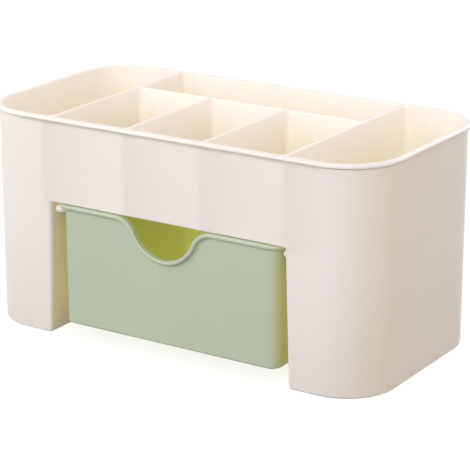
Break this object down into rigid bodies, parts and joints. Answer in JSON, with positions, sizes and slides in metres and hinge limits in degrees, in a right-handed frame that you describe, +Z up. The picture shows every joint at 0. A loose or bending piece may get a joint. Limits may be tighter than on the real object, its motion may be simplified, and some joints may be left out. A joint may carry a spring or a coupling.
{
  "type": "brush holder with drawer",
  "caption": "Desktop make-up brush holder: a rounded body with deep end cups, front pockets and a back channel over a sliding drawer with a finger scoop.",
  "frame": {"origin": "on the table, under the middle of the body", "axes": "+Z up, +X along the length, and -Y is the front, where the drawer pulls out"},
  "size_m": [0.22, 0.115, 0.109],
  "materials": {
    "body_plastic": "cream injection-moulded polypropylene, satin",
    "drawer_plastic": "sage-green injection-moulded polypropylene, satin"
  },
  "bodies": {
    "organiser": {"outer_shell": "body_plastic", "left_cup_wall": "body_plastic", "right_cup_wall": "body_plastic", "left_cup_floor": "body_plastic", "right_cup_floor": "body_plastic", "tray_floor": "body_plastic", "channel_wall": "body_plastic", "left_pocket_divider": "body_plastic", "right_pocket_divider": "body_plastic", "left_rail": "body_plastic", "right_rail": "body_plastic"},
    "drawer": {"drawer_tub": "drawer_plastic", "drawer_rim": "drawer_plastic"}
  },
  "joints": [
    {"name": "drawer_slide", "type": "slide", "parent": "organiser", "child": "drawer", "axis": [0, -1, 0], "range_m": [0, 0.08]}
  ]
}
